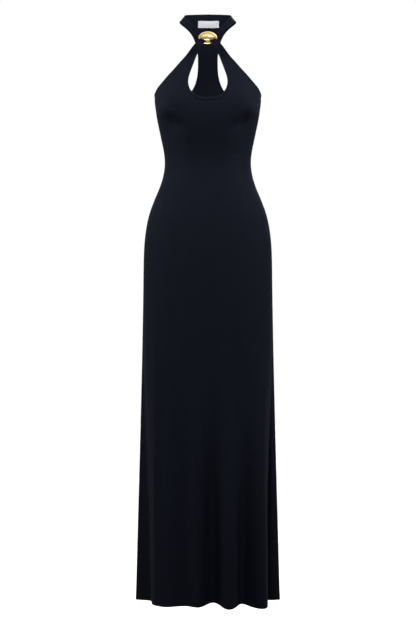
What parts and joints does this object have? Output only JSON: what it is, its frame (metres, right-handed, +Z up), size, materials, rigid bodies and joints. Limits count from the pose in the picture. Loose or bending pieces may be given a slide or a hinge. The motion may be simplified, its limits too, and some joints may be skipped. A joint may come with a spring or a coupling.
{
  "type": "halter maxi dress",
  "caption": "Sleeveless halter maxi dress in dark jersey, filled out as worn, with a keyhole front, a gold oval ring at the throat and a racer back.",
  "frame": {"origin": "middle of the neck loop at the height of the nape label, where the wearer's neck holds the dress", "axes": "+Z up along the dress, -Y towards the front, +X towards the wearer's left"},
  "size_m": [0.3752, 0.3001, 1.5359],
  "materials": {
    "jersey": "fine matt viscose jersey, navy black",
    "gold_metal": "polished pale gold plate",
    "satin_label": "white woven satin, bare"
  },
  "bodies": {
    "root": {"front": "jersey", "back": "jersey", "keyhole_binding": "jersey", "neck_strap_left": "jersey", "neck_strap_right": "jersey", "buckle": "gold_metal", "label": "satin_label"}
  },
  "joints": []
}
